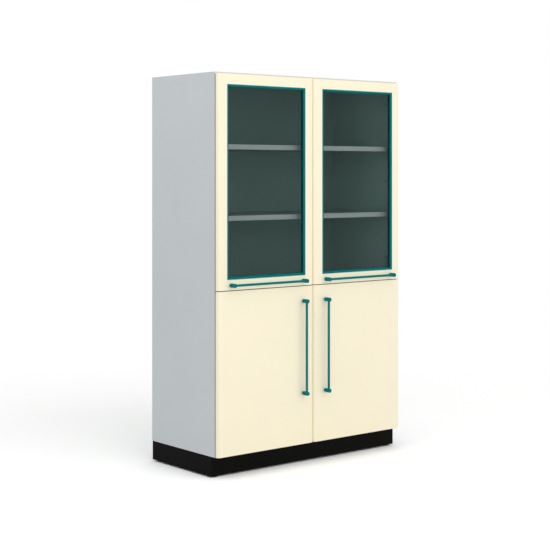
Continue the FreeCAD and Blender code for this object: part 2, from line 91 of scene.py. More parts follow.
# Sockets of nodes whose kinds share names: colours in a Mix, numbers in a Random Value.
MIX_SHARE, MIX_FROM, MIX_TO, MIX_COLOUR = 0, 6, 7, 2
RANDOM_MIN, RANDOM_MAX, RANDOM_VALUE = 2, 3, 1

# How finely the repeated fittings are drawn, in faces or steps round their axes.
HEAD_SIDES = 20
CORE_SIDES = 32
HELIX_STEPS = 20
RIDGE_SIDES = 6

Colour = tuple[float, float, float, float]
Tree = bpy.types.NodeTree
Socket = bpy.types.NodeSocket


class Side(Enum):
    """Side of the cabinet, seen from the front."""

    LEFT = "left"
    RIGHT = "right"


class Tier(Enum):
    """Upper doors are glazed, lower ones are plain boards."""

    UPPER = "upper"
    LOWER = "lower"


class Place(Enum):
    """Row of the feet, and the plinth board beside it."""

    FRONT = "front"
    BACK = "back"


class Faces(Enum):
    """Faces of a board that can carry a finish of their own."""

    FRONT_EDGE = "front edge"
    CORNER = "front edge over the doors"
    ENDS = "lower and upper end"
    INSIDE = "face towards the middle of the cabinet"

    def hold(self, middle: Vector, whole: "Box") -> bool:
        """Tells whether a face is one of these.

        Args:
            middle: middle of the face.
            whole: box of the board.

        Returns:
            True if it is.
        """
        if self is Faces.ENDS:
            return not whole.low.z + WELD_MM < middle.z < whole.high.z - WELD_MM
        if self is Faces.INSIDE:
            return abs(middle.x - min(whole.low.x, whole.high.x, key=abs)) < WELD_MM
        in_front = middle.y < whole.low.y + WELD_MM
        return in_front and (self is Faces.FRONT_EDGE or middle.z > door_top())


class Slot(Enum):
    """Material slots of the record."""

    CARCASS = "carcass_board"
    SHELF = "shelf_board"
    BACK = "back_board"
    DOOR = "door_board"
    PLINTH = "plinth_board"
    BLOCK = "foot_block"
    TRIM = "glazing_trim"
    HANDLE = "handle"
    GLASS = "glass"
    BEAD = "glazing_bead"
    HINGE = "hinge_steel"
    FITTING = "fitting_steel"
    BUFFER = "buffer"
    CATCH = "catch_housing"
    PAD = "foot_pad"


def linear(colour: str, tone: float = 1.0) -> Colour:
    """Turns an sRGB hex colour into linear RGBA.

    Args:
        colour: a hash sign and six hex digits.
        tone: factor on the linear value, for a lighter or darker shade.

    Returns:
        Linear red, green and blue, and an alpha of 1.
    """
    steps = [value / 255.0 for value in bytes.fromhex(colour[1:])]
    light = [step / SRGB_SLOPE if step <= SRGB_TOE
             else ((step + SRGB_SHIFT) / (1.0 + SRGB_SHIFT)) ** SRGB_POWER for step in steps]
    red, green, blue = (min(1.0, tone * value) for value in light)
    return red, green, blue, 1.0


def add_node(tree: Tree, kind: str, inputs: dict | None = None,
             **settings: object) -> bpy.types.Node:
    """Adds a node with its settings and links.

    Args:
        tree: shader or geometry tree that takes the node.
        kind: Blender's name for the node type.
        inputs: value, output socket or list of output sockets for each input name or index.
        settings: the node's own properties.

    Returns:
        The new node.
    """
    node = tree.nodes.new(kind)
    for name, value in settings.items():
        setattr(node, name, value)
    for name, value in (inputs or {}).items():
        for given in value if isinstance(value, list) else [value]:
            if isinstance(given, Socket):
                tree.links.new(given, node.inputs[name])
            else:
                node.inputs[name].default_value = given
    return node


def arithmetic(tree: Tree, operation: str, first: object, second: object) -> Socket:
    """Adds a Math node.

    Args:
        tree: shader or geometry tree that takes the node.
        operation: Blender's name for what it does.
        first: number or output socket.
        second: number or output socket.

    Returns:
        Socket of the result.
    """
    return add_node(tree, "ShaderNodeMath", {0: first, 1: second}, operation=operation).outputs[0]


def noise(tree: Tree, place: Socket, width_mm: float, detail: float) -> Socket:
    """Adds a noise texture.

    Args:
        tree: the material's node tree.
        place: socket of the coordinates, in metres.
        width_mm: real width of its spots.
        detail: number of finer layers in it.

    Returns:
        Socket of its value, from 0 to 1.
    """
    return add_node(tree, "ShaderNodeTexNoise", {
        "Vector": place, "Scale": MM_IN_M / width_mm, "Detail": detail}).outputs["Fac"]


@dataclass(frozen=True)
class Finish:
    """A coated or moulded surface: one even colour under a fine relief that breaks up its gloss.

    The grain is the relief's real width, the cloud a slow drift of the colour across a board, and
    the mottle's limits are those that the sum of the two mostly keeps to.
    """

    name: str
    colour: str
    roughness: float
    grain_mm: float
    relief_mm: float
    drift: float = 0.02
    cloud_mm: float = 260.0
    gloss_spread: float = 0.06
    metallic: float = 0.0
    specular: float = 0.5
    stretch: tuple[float, float, float] = (1.0, 1.0, 1.0)
    grain_detail: float = 3.0
    cloud_detail: float = 2.0
    mottle: tuple[float, float] = (0.7, 1.3)

    def material(self) -> bpy.types.Material:
        """Makes the material on first use and gives that one from then on.

        Returns:
            The material.
        """
        made = bpy.data.materials.get(self.name)
        if made is None:
            made = bpy.data.materials.new(self.name)
            made.use_nodes = True
            made.node_tree.nodes.clear()
            surface = self.shade(made.node_tree)
            add_node(made.node_tree, "ShaderNodeOutputMaterial", {"Surface": surface})
        return made

    def drifted(self, tree: Tree, share: Socket) -> Socket:
        """Lets the colour drift about its mean.

        Args:
            tree: the material's node tree.
            share: socket that goes from 0 at the darkest to 1 at the lightest.

        Returns:
            Socket of the colour.
        """
        return add_node(tree, "ShaderNodeMix", {
            MIX_SHARE: share, MIX_FROM: linear(self.colour, 1.0 - self.drift),
            MIX_TO: linear(self.colour, 1.0 + self.drift)}, data_type="RGBA").outputs[MIX_COLOUR]

    def shade(self, tree: Tree) -> Socket:
        """Builds the surface.

        Args:
            tree: the material's empty node tree.

        Returns:
            Socket of the finished shader.
        """
        place = add_node(tree, "ShaderNodeTexCoord").outputs["Object"]
        drawn = add_node(tree, "ShaderNodeMapping", {"Vector": place, "Scale": self.stretch})
        grain = noise(tree, drawn.outputs["Vector"], self.grain_mm, self.grain_detail)
        cloud = noise(tree, place, self.cloud_mm, self.cloud_detail)
        share = add_node(tree, "ShaderNodeMapRange", {
            "Value": arithmetic(tree, "ADD", grain, cloud), "From Min": self.mottle[0],
            "From Max": self.mottle[1]})
        gloss = add_node(tree, "ShaderNodeMapRange", {
            "Value": grain, "To Min": self.roughness - self.gloss_spread,
            "To Max": self.roughness + self.gloss_spread})
        relief = add_node(tree, "ShaderNodeBump", {
            "Height": grain, "Distance": self.relief_mm * MM})
        return add_node(tree, "ShaderNodeBsdfPrincipled", {
            "Base Color": self.drifted(tree, share.outputs[0]), "Roughness": gloss.outputs[0],
            "Normal": relief.outputs[0], "Metallic": self.metallic,
            "Specular IOR Level": self.specular}).outputs[0]


@dataclass(frozen=True)
class TintedGlass(Finish):
    """Body-tinted float glass: dims what stands behind it and carries a faint reflection.

    Each face takes half of the pane's tint, as the light passes two of them. The reflection is set
    from how squarely a face is seen, the same for both faces, and is kept faint as photographed.
    """

    grain_detail: float = 1.0
    square_on: float = 0.006
    grazing_power: float = 5.0

    def shade(self, tree: Tree) -> Socket:
        """Builds the pane's surface.

        Args:
            tree: the material's empty node tree.

        Returns:
            Socket of the finished shader.
        """
        place = add_node(tree, "ShaderNodeTexCoord").outputs["Object"]
        wave = noise(tree, place, self.grain_mm, self.grain_detail)
        bent = add_node(tree, "ShaderNodeBump", {
            "Height": wave, "Distance": self.relief_mm * MM})
        through = add_node(tree, "ShaderNodeBsdfTransparent", {"Color": self.drifted(tree, wave)})
        shine = add_node(tree, "ShaderNodeBsdfAnisotropic", {
            "Roughness": self.roughness, "Normal": bent.outputs[0]})
        slant = add_node(tree, "ShaderNodeLayerWeight", {"Normal": bent.outputs[0]})
        share = add_node(tree, "ShaderNodeMapRange", {
            "Value": arithmetic(tree, "POWER", slant.outputs["Facing"], self.grazing_power),
            "To Min": self.square_on})
        return add_node(tree, "ShaderNodeMixShader", {
            0: share.outputs[0], 1: through.outputs[0], 2: shine.outputs[0]}).outputs[0]


@dataclass(frozen=True)
class PaleFloor(Finish):
    """Matt studio floor, exposed to plain white where no shadow falls.

    The exposure only counts for rays that show the floor, so it adds no light to the part. Well
    away from the part the floor fades into the white background.
    """

    grain_detail: float = 2.0
    exposure: float = 1.5
    clear_m: float = 1.4
    fade_m: float = 3.4

    def shade(self, tree: Tree) -> Socket:
        """Builds the floor's surface.

        Args:
            tree: the material's empty node tree.

        Returns:
            Socket of the finished shader.
        """
        place = add_node(tree, "ShaderNodeTexCoord").outputs["Object"]
        grain = noise(tree, place, self.grain_mm, self.grain_detail)
        seen = seen_directly(tree)
        gain = add_node(tree, "ShaderNodeMapRange", {
            "Value": seen, "To Min": 1.0, "To Max": self.exposure})
        shown = add_node(tree, "ShaderNodeVectorMath", {
            0: self.drifted(tree, grain), "Scale": gain.outputs[0]}, operation="SCALE")
        matt = add_node(tree, "ShaderNodeBsdfDiffuse", {"Color": shown.outputs[0]})
        reach = add_node(tree, "ShaderNodeVectorMath", {0: place}, operation="LENGTH")
        fade = add_node(tree, "ShaderNodeMapRange", {
            "Value": reach.outputs["Value"], "From Min": self.clear_m,
            "From Max": self.fade_m}, interpolation_type="SMOOTHSTEP")
        share = arithmetic(tree, "MULTIPLY", fade.outputs[0], seen)
        white = add_node(tree, "ShaderNodeEmission", {"Strength": 1.0})
        return add_node(tree, "ShaderNodeMixShader", {
            0: share, 1: matt.outputs[0], 2: white.outputs[0]}).outputs[0]


def seen_directly(tree: Tree) -> Socket:
    """Tells rays that show the background from those that light the object.

    Args:
        tree: tree of the floor's or the world's shader.

    Returns:
        Socket that is 1 for camera, glossy and transmission rays and 0 for the others.
    """
    path = add_node(tree, "ShaderNodeLightPath").outputs
    mirrored = arithmetic(tree, "MAXIMUM", path["Is Glossy Ray"], path["Is Transmission Ray"])
    return arithmetic(tree, "MAXIMUM", path["Is Camera Ray"], mirrored)


# Melamine-faced chipboard: pressed paper with a pearl relief, so a flat, slightly milky gloss.
# The real pearls are under a millimetre; they are drawn wider to show at all.
GREY_MELAMINE = Finish("grey_melamine_board", "#C9D0D3", 0.48, 2.4, 0.03, drift=0.02)
# The same board on the inside of the cabinet, made greener and a little darker: painted shade for
# the dim light inside the closed cabinet.
SHADED_INNER_MELAMINE = Finish("shaded_inner_melamine_board", "#BAD0CD", 0.5, 2.4, 0.03, drift=0.02)
# ABS edge band: extruded strip, smoother and a little lighter than the pressed faces.
PALE_EDGE_BAND = Finish("pale_abs_edge_band", "#D8D4D6", 0.38, 1.6, 0.01, drift=0.015)
# Shelves of the same kind of board, made a darker green-grey: painted shade for the dim tops of
# the shelves inside the cabinet.
SHADED_SHELF_MELAMINE = Finish("shaded_shelf_melamine_board", "#9AA6A5", 0.5, 2.4, 0.03, drift=0.03)
# Postformed laminate bent round the door edges: warm cream with a satin face.
CREAM_LAMINATE = Finish("cream_postformed_laminate", "#FBF2D6", 0.36, 3.0, 0.02, drift=0.012)
# Edge band on the sawn ends of the doors, in tan: painted shade for the warm shadow in the gaps
# between the doors, shown as a line between them.
GAP_SHADE_TAN_BAND = Finish("painted_gap_shade_tan_band", "#C2A050", 0.42, 1.6, 0.01, drift=0.03)
# Edge band of the sides behind the doors, in mid grey: painted shade for the shadow in the gap
# between side and door, shown as a grey line.
GAP_SHADE_EDGE_BAND = Finish("painted_gap_shade_edge_band", "#9C9F9D", 0.42, 1.6, 0.01, drift=0.03)
# Edge band of the top and of the sides' upper corners, a light line over the doors.
LIGHT_EDGE_BAND = Finish("light_grey_abs_edge_band", "#DEE2DF", 0.42, 1.6, 0.01, drift=0.02)
# Melamine-faced plinth board in black: nearly no colour, a dull sheen on the pearls.
BLACK_MELAMINE = Finish("black_melamine_board", "#0F0F0E", 0.5, 2.4, 0.03, drift=0.12,
                        specular=0.03)
# Lacquered fibreboard back: rolled paint with a soft orange peel.
LACQUERED_BACK = Finish("lacquered_fibreboard", "#9DB4AF", 0.55, 4.0, 0.04, drift=0.03)
# Epoxy powder coat on steel handles: deep even colour, fine orange peel in the highlights.
TEAL_POWDER_COAT = Finish("teal_powder_coat", "#00777A", 0.4, 1.8, 0.03, drift=0.06, cloud_mm=60.0,
                          specular=0.025)
# Extruded PVC glazing trim: the same teal, duller and smoother.
TEAL_TRIM = Finish("teal_extruded_pvc", "#00767A", 0.45, 2.0, 0.015, drift=0.05, cloud_mm=90.0,
                   specular=0.025)
# Extruded PVC bead behind the pane: the trim's colour a shade deeper.
TEAL_BEAD = Finish("deep_teal_pvc_bead", "#005356", 0.45, 2.0, 0.015, drift=0.05, cloud_mm=90.0,
                   specular=0.06)
# Body-tinted float glass, 4 mm: a grey-green dimming, roller waves far wider than deep.
GREY_GREEN_GLASS = TintedGlass("tinted_float_glass", "#E0E6E5", 0.02, 140.0, 0.01, drift=0.015)
# Nickel-plated pressed steel: bright, warm grey, finely marked by the press.
NICKEL_PLATE = Finish("nickel_plated_steel", "#CDC8BE", 0.26, 0.9, 0.004, drift=0.05,
                      cloud_mm=14.0, metallic=1.0)
# Epoxy-coated hinge steel, as used against fumes: matt light grey, close to the boards.
GREY_EPOXY = Finish("grey_epoxy_coated_steel", "#B7BDBF", 0.5, 1.4, 0.012, drift=0.03,
                    cloud_mm=30.0)
# Zinc-plated steel: cooler and duller than nickel, with cloudy passivation.
ZINC_PLATE = Finish("zinc_plated_steel", "#B9BDC0", 0.36, 1.1, 0.006, drift=0.09,
                    cloud_mm=9.0, metallic=1.0)
# Soft clear polyurethane buffers: milky domes that catch one soft highlight.
CLEAR_RUBBER = Finish("clear_polyurethane", "#DFE2DE", 0.3, 1.2, 0.004, drift=0.02, cloud_mm=5.0)
# Moulded white ABS catch housing: fine spark-eroded texture.
WHITE_ABS = Finish("white_moulded_abs", "#E9E8E2", 0.46, 0.8, 0.012, drift=0.02, cloud_mm=30.0)
# Moulded black polypropylene: matt, with a coarse spark texture that greys the highlights.
BLACK_POLYPROPYLENE = Finish("black_moulded_polypropylene", "#141414", 0.55, 1.0, 0.02, drift=0.15,
                             cloud_mm=25.0)
# Planed beech corner blocks: pinkish tan, grain drawn out along the block.
PLANED_BEECH = Finish("planed_beech", "#C79F73", 0.6, 3.0, 0.05, drift=0.16, cloud_mm=40.0,
                      stretch=(1.0, 1.0, 0.12))
# Studio floor: plain white in the light, a soft grey in the cabinet's shadow.
PALE_FLOOR = PaleFloor("pale_matt_floor", "#E8E8E7", 0.9, 40.0, 0.0, drift=0.006)


@dataclass(frozen=True)
class Box:
    """An upright box in the frame."""

    low: Vector
    high: Vector

    @classmethod
    def of(cls, node: str) -> "Box":
        """Box of a whole node."""
        low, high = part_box(node)
        return cls(low / MM, high / MM)

    @classmethod
    def around(cls, points: Sequence[Vector]) -> "Box":
        """Smallest box that holds all the points."""
        return cls(Vector([min(row) for row in zip(*points)]),
                   Vector([max(row) for row in zip(*points)]))

    @property
    def centre(self) -> Vector:
        """Middle of the box."""
        return (self.low + self.high) / 2.0


def door_top() -> float:
    """Height of the upper doors' top."""
    return Box.of("upper_left_door_frame").high.z


def welded(node: str) -> bmesh.types.BMesh:
    """Copies a CAD node's triangles and joins them into whole faces.

    Args:
        node: name of the CAD node.

    Returns:
        A new bmesh in metres, which the caller frees.
    """
    source = frame["nodes"][node].data
    loose = bpy.data.meshes.new(node)
    loose.from_pydata([point.co for point in source.vertices], [],
                      [face.vertices for face in source.polygons])
    shape = bmesh.new()
    shape.from_mesh(loose)
    bpy.data.meshes.remove(loose)
    bmesh.ops.remove_doubles(shape, verts=shape.verts, dist=WELD_MM * MM)
    bmesh.ops.dissolve_limit(shape, angle_limit=FLAT_ANGLE, verts=shape.verts, edges=shape.edges)
    return shape


def solids(node: str) -> list[Box]:
    """Finds the separate solids of a node.

    Args:
        node: name of the CAD node.

    Returns:
        The box of each solid.
    """
    shape = welded(node)
    seen: set[bmesh.types.BMVert] = set()
    boxes = []
    for first in shape.verts:
        if first in seen:
            continue
        seen.add(first)
        group = [first]
        for point in group:
            fresh = {edge.other_vert(point) for edge in point.link_edges} - seen
            seen |= fresh
            group.extend(fresh)
        boxes.append(Box.around([point.co / MM for point in group]))
    shape.free()
    return boxes


def dress(node: str, finish: Finish) -> None:
    """Gives a CAD node that stays in view its finish.

    Args:
        node: name of the CAD node.
        finish: what its surface is.
    """
    for slot in frame["nodes"][node].material_slots:
        slot.material = finish.material()
    LOG.info("%s keeps its CAD shape, in %s", node, finish.name)


def add_object(name: str, data: bpy.types.ID) -> bpy.types.Object:
    """Adds an object to the scene.

    Args:
        name: name of the object.
        data: its mesh, light or camera.

    Returns:
        The new object.
    """
    thing = bpy.data.objects.new(name, data)
    bpy.context.scene.collection.objects.link(thing)
    return thing


def put(name: str, mesh: bpy.types.Mesh, finishes: Sequence[Finish], body: str,
        replaced: Iterable[str] = ()) -> bpy.types.Object:
    """Adds a finished mesh to the cabinet.

    Args:
        name: name of the new piece.
        mesh: its mesh, in the frame.
        finishes: its materials, in the order of the faces' material numbers.
        body: CAD body that it moves with.
        replaced: CAD nodes that it stands for.

    Returns:
        The piece's object.
    """
    if not mesh.materials:
        for finish in finishes:
            mesh.materials.append(finish.material())
    piece = add_object(name, mesh)
    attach(piece, body)
    if replaced:
        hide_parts(*replaced)
    LOG.info("%s rides on %s, in %s", name, body, finishes[0].name)
    return piece


def ease(piece: bpy.types.Object, width_mm: float) -> None:
    """Rounds the piece's marked edges and keeps its flat faces flat to the eye.

    Args:
        piece: object whose mesh has bevel weights on its edges.
        width_mm: width of the rounding.
    """
    rounding = piece.modifiers.new("eased edges", "BEVEL")
    rounding.width = width_mm * MM
    rounding.segments = EASE_SEGMENTS
    rounding.limit_method = "WEIGHT"
    joining = piece.modifiers.new("joined points", "WELD")
    joining.merge_threshold = WELD_MM * MM
    evening = piece.modifiers.new("even shading", "WEIGHTED_NORMAL")
    evening.weight = EVEN_WEIGHT
    evening.keep_sharp = True


def mark_edges(shape: bmesh.types.BMesh, shortest_mm: float) -> None:
    """Marks every sharp edge, either for easing or, if it is short, to stay crisp.

    Args:
        shape: bmesh to mark.
        shortest_mm: edges under this length, as in drilled holes, stay crisp.
    """
    weight = shape.edges.layers.float.new("bevel_weight_edge")
    for edge in shape.edges:
        if edge.calc_face_angle(0.0) > SHARP_ANGLE:
            long_enough = edge.calc_length() > shortest_mm * MM
            edge[weight] = float(long_enough)
            edge.smooth = long_enough


def mesh_from(shape: bmesh.types.BMesh, name: str) -> bpy.types.Mesh:
    """Turns a bmesh into a smooth-shaded mesh and frees it.

    Args:
        shape: bmesh in metres.
        name: name of the mesh.

    Returns:
        The new mesh.
    """
    for face in shape.faces:
        face.smooth = True
    mesh = bpy.data.meshes.new(name)
    shape.to_mesh(mesh)
    shape.free()
    return mesh


@dataclass(frozen=True)
class Board:
    """A board of the cabinet, with eased edges and with other finishes on some of its faces.

    A later coat goes over an earlier one.
    """

    node: str
    body: str
    finish: Finish
    slot: Slot
    coats: tuple[tuple[Faces, Finish], ...] = ()
    eased: float = 0.6
    shortest_edge: float = 5.0

    def build(self) -> None:
        """Makes the board over its CAD node."""
        shape = welded(self.node)
        whole = Box.of(self.node)
        if Faces.CORNER in dict(self.coats):
            self.cut_front(shape, whole)
        mark_edges(shape, self.shortest_edge)
        for face in shape.faces:
            middle = face.calc_center_median() / MM
            for number, (faces, _) in enumerate(self.coats, start=1):
                if faces.hold(middle, whole):
                    face.material_index = number
        finishes = [self.finish] + [coat for _, coat in self.coats]
        piece = put(f"{self.node}_faced", mesh_from(shape, self.node), finishes, self.body,
                    [self.node])
        ease(piece, self.eased)

    def cut_front(self, shape: bmesh.types.BMesh, whole: Box) -> None:
        """Cuts the front edge at the top of the doors, where the painted gap shade below gives way
        to the light band.

        Args:
            shape: the board's bmesh.
            whole: box of the board.
        """
        front = [face for face in shape.faces
                 if Faces.FRONT_EDGE.hold(face.calc_center_median() / MM, whole)]
        for face in front:
            bmesh.ops.bisect_plane(shape, geom=[face, *face.edges, *face.verts],
                                   plane_co=(0.0, 0.0, door_top() * MM), plane_no=(0.0, 0.0, 1.0))


@dataclass(frozen=True)
class MitredFrame:
    """Four lengths of one section, mitred round a rectangle that faces the front.

    The section's points are pairs: how far inside the rectangle, and the place along Y.
    """

    rectangle: Box
    section: tuple[tuple[float, float], ...]
    joint: float = 0.1

    def mesh(self, name: str) -> bpy.types.Mesh:
        """Builds the four lengths.

        Args:
            name: name of the mesh.

        Returns:
            One mesh of four closed lengths, with their edges marked for easing.
        """
        low, high = self.rectangle.low, self.rectangle.high
        corners = [(low.x, low.z, 1, 1), (high.x, low.z, -1, 1),
                   (high.x, high.z, -1, -1), (low.x, high.z, 1, -1)]
        shape = bmesh.new()
        for number, start in enumerate(corners):
            end = corners[(number + 1) % len(corners)]
            run = Vector((end[0] - start[0], 0.0, end[1] - start[1])).normalized() * self.joint / 2
            rings = [[shape.verts.new((Vector((x + dx * inset, y, z + dz * inset)) + shift) * MM)
                      for inset, y in self.section]
                     for (x, z, dx, dz), shift in ((start, run), (end, -run))]
            for at in range(len(self.section)):
                after = (at + 1) % len(self.section)
                shape.faces.new((rings[0][at], rings[0][after], rings[1][after], rings[1][at]))
            shape.faces.new(rings[0])
            shape.faces.new(rings[1])
        bmesh.ops.recalc_face_normals(shape, faces=shape.faces)
        mark_edges(shape, shortest_mm=0.0)
        return mesh_from(shape, name)


class NodeTool:
    """A Geometry Nodes tree with named inputs, run once on each mesh that it is given."""

    def __init__(self, name: str, inputs: dict[str, str]) -> None:
        """Starts the tree.

        Args:
            name: name of the tree.
            inputs: socket type of each named input, beside the geometry and the finish.
        """
        self.tree = bpy.data.node_groups.new(name, "GeometryNodeTree")
        sockets = {"Geometry": "NodeSocketGeometry", **inputs, "Finish": "NodeSocketMaterial"}
        for label, kind in sockets.items():
            self.tree.interface.new_socket(label, in_out="INPUT", socket_type=kind)
        self.tree.interface.new_socket("Geometry", in_out="OUTPUT",
                                       socket_type="NodeSocketGeometry")
        self.given = self.tree.nodes.new("NodeGroupInput").outputs

    def close(self, shape: Socket) -> None:
        """Ends the tree in plain, dressed geometry.

        Args:
            shape: socket of the geometry to hand out.
        """
        real = add_node(self.tree, "GeometryNodeRealizeInstances", {"Geometry": shape})
        dressed = add_node(self.tree, "GeometryNodeSetMaterial", {
            "Geometry": real.outputs[0], "Material": self.given["Finish"]})
        add_node(self.tree, "NodeGroupOutput", {"Geometry": dressed.outputs[0]})

    def run(self, seats: bpy.types.Mesh, finish: Finish, **values: object) -> bpy.types.Mesh:
        """Runs the tree on a mesh.

        Args:
            seats: mesh whose points the tree works on.
            finish: material of the result.
            values: the named inputs, with underscores for the spaces in their names.

        Returns:
            The result as a plain mesh.
        """
        carrier = add_object(seats.name, seats)
        work = carrier.modifiers.new("tool", "NODES")
        work.node_group = self.tree
        named = {"Finish": finish.material()}
        named.update({label.replace("_", " "): value for label, value in values.items()})
        for socket in self.tree.interface.items_tree:
            if socket.in_out == "INPUT" and socket.name in named:
                work[socket.identifier] = named[socket.name]
        depsgraph = bpy.context.evaluated_depsgraph_get()
        made = bpy.data.meshes.new_from_object(carrier.evaluated_get(depsgraph))
        bpy.data.objects.remove(carrier)
        return made


@cache
def screw_tool() -> NodeTool:
    """Builds the tree that sets a cross-recessed pan head on every point, facing as it says.

    Returns:
        The tool, made once, with the head's sizes as inputs.
    """
    number = "NodeSocketFloat"
    tool = NodeTool("screw_heads", {"Head Radius": number, "Crown": number, "Head Height": number,
                                    "Recess Length": number, "Recess Width": number,
                                    "Recess Depth": number, "Seed": "NodeSocketInt"})
    tree, given = tool.tree, tool.given
    crown = arithmetic(tree, "MULTIPLY", given["Head Radius"], given["Crown"])
    head = add_node(tree, "GeometryNodeMeshCone", {
        "Vertices": HEAD_SIDES, "Radius Top": crown, "Radius Bottom": given["Head Radius"],
        "Depth": given["Head Height"]})
    deep = arithmetic(tree, "ADD", given["Recess Depth"], given["Recess Depth"])
    lifted = add_node(tree, "ShaderNodeCombineXYZ", {"Z": given["Head Height"]})
    cutters = []
    for across, along in (("Recess Length", "Recess Width"), ("Recess Width", "Recess Length")):
        size = add_node(tree, "ShaderNodeCombineXYZ", {
            "X": given[across], "Y": given[along], "Z": deep})
        blade = add_node(tree, "GeometryNodeMeshCube", {"Size": size.outputs[0]})
        raised = add_node(tree, "GeometryNodeTransform", {
            "Geometry": blade.outputs[0], "Translation": lifted.outputs[0]})
        cutters.append(raised.outputs[0])
    cut = add_node(tree, "GeometryNodeMeshBoolean", {
        "Mesh 1": head.outputs[0], "Mesh 2": cutters}, operation="DIFFERENCE",
        solver="MANIFOLD")
    facing = add_node(tree, "GeometryNodeInputNamedAttribute", {"Name": "facing"},
                      data_type="FLOAT_VECTOR")
    aimed = add_node(tree, "FunctionNodeAlignRotationToVector", {"Vector": facing.outputs[0]},
                     axis="Z")
    turn = add_node(tree, "FunctionNodeRandomValue", {
        RANDOM_MIN: 0.0, RANDOM_MAX: QUARTER_TURN, "Seed": given["Seed"]}, data_type="FLOAT")
    angles = add_node(tree, "ShaderNodeCombineXYZ", {"Z": turn.outputs[RANDOM_VALUE]})
    twist = add_node(tree, "FunctionNodeEulerToRotation", {"Euler": angles.outputs[0]})
    turned = add_node(tree, "FunctionNodeRotateRotation", {
        "Rotation": aimed.outputs[0], "Rotate By": twist.outputs[0]}, rotation_space="LOCAL")
    tool.close(add_node(tree, "GeometryNodeInstanceOnPoints", {
        "Points": given["Geometry"], "Instance": cut.outputs[0],
        "Rotation": turned.outputs[0]}).outputs[0])
    return tool


@cache
def thread_tool() -> NodeTool:
    """Builds the tree that winds a thread round a core standing on the mesh's only point.

    Returns:
        The tool, made once, with the thread's sizes as inputs.
    """
    number = "NodeSocketFloat"
    tool = NodeTool("threaded_stem", {"Root Radius": number, "Crest": number, "Pitch": number,
                                      "Length": number})
    tree, given = tool.tree, tool.given
    middle = add_node(tree, "ShaderNodeCombineXYZ", {
        "Z": arithmetic(tree, "DIVIDE", given["Length"], 2.0)})
    core = add_node(tree, "GeometryNodeMeshCylinder", {
        "Vertices": CORE_SIDES, "Radius": given["Root Radius"], "Depth": given["Length"]})
    stood = add_node(tree, "GeometryNodeTransform", {
        "Geometry": core.outputs[0], "Translation": middle.outputs[0]})
    spare = arithmetic(tree, "ADD", given["Crest"], given["Crest"])
    climb = arithmetic(tree, "SUBTRACT", given["Length"], spare)
    turns = arithmetic(tree, "DIVIDE", climb, given["Pitch"])
    helix = add_node(tree, "GeometryNodeCurveSpiral", {
        "Resolution": HELIX_STEPS, "Rotations": turns, "Start Radius": given["Root Radius"],
        "End Radius": given["Root Radius"], "Height": climb})
    start = add_node(tree, "ShaderNodeCombineXYZ", {"Z": given["Crest"]})
    raised = add_node(tree, "GeometryNodeTransform", {
        "Geometry": helix.outputs[0], "Translation": start.outputs[0]})
    ridge = add_node(tree, "GeometryNodeCurvePrimitiveCircle", {
        "Resolution": RIDGE_SIDES, "Radius": given["Crest"]})
    wound = add_node(tree, "GeometryNodeCurveToMesh", {
        "Curve": raised.outputs[0], "Profile Curve": ridge.outputs[0], "Fill Caps": True})
    both = add_node(tree, "GeometryNodeJoinGeometry", {
        "Geometry": [stood.outputs[0], wound.outputs[0]]})
    tool.close(add_node(tree, "GeometryNodeInstanceOnPoints", {
        "Points": given["Geometry"], "Instance": both.outputs[0]}).outputs[0])
    return tool


@dataclass(frozen=True)
class Seat:
    """Where a screw head sits and which way it faces."""

    point: Vector
    facing: tuple[float, float, float]


def seats_mesh(name: str, seats: Sequence[Seat]) -> bpy.types.Mesh:
    """Makes the loose points that a node tool works on.

    Args:
        name: name of the mesh.
        seats: the places.

    Returns:
        A mesh of points, each with the way it faces as an attribute.
    """
    mesh = bpy.data.meshes.new(name)
    mesh.from_pydata([seat.point * MM for seat in seats], [], [])
    facing = mesh.attributes.new("facing", "FLOAT_VECTOR", "POINT")
    for entry, seat in zip(facing.data, seats):
        entry.vector = seat.facing
    return mesh


@dataclass(frozen=True)
class ScrewHead:
    """A cross-recessed pan head.

    Its crown and recess are shares of its width and height.
    """

    across: float
    height: float
    seed: int
    crown: float = 0.74
    recess_length: float = 0.62
    recess_width: float = 0.16
    recess_depth: float = 0.6

    def drive(self, name: str, seats: Sequence[Seat], finish: Finish, body: str) -> None:
        """Sets a head on every seat, all in one piece.

        Args:
            name: name of the piece.
            seats: where the heads go.
            finish: what they are plated with.
            body: CAD body that carries them.
        """
        heads = screw_tool().run(
            seats_mesh(name, seats), finish, Head_Radius=self.across / 2 * MM, Crown=self.crown,
            Head_Height=self.height * MM, Recess_Length=self.recess_length * self.across * MM,
            Recess_Width=self.recess_width * self.across * MM,
            Recess_Depth=self.recess_depth * self.height * MM, Seed=self.seed)
        put(name, heads, [finish], body)


HINGE_SCREW = ScrewHead(across=6.6, height=1.2, seed=3)
HANDLE_SCREW = ScrewHead(across=8.4, height=2.4, seed=5)
CATCH_SCREW = ScrewHead(across=5.4, height=1.0, seed=7)
CAM_FACE = ScrewHead(across=13.6, height=0.35, seed=11, recess_depth=0.8)
TOWARDS_BACK = (0.0, 1.0, 0.0)
DOWNWARDS = (0.0, 0.0, -1.0)


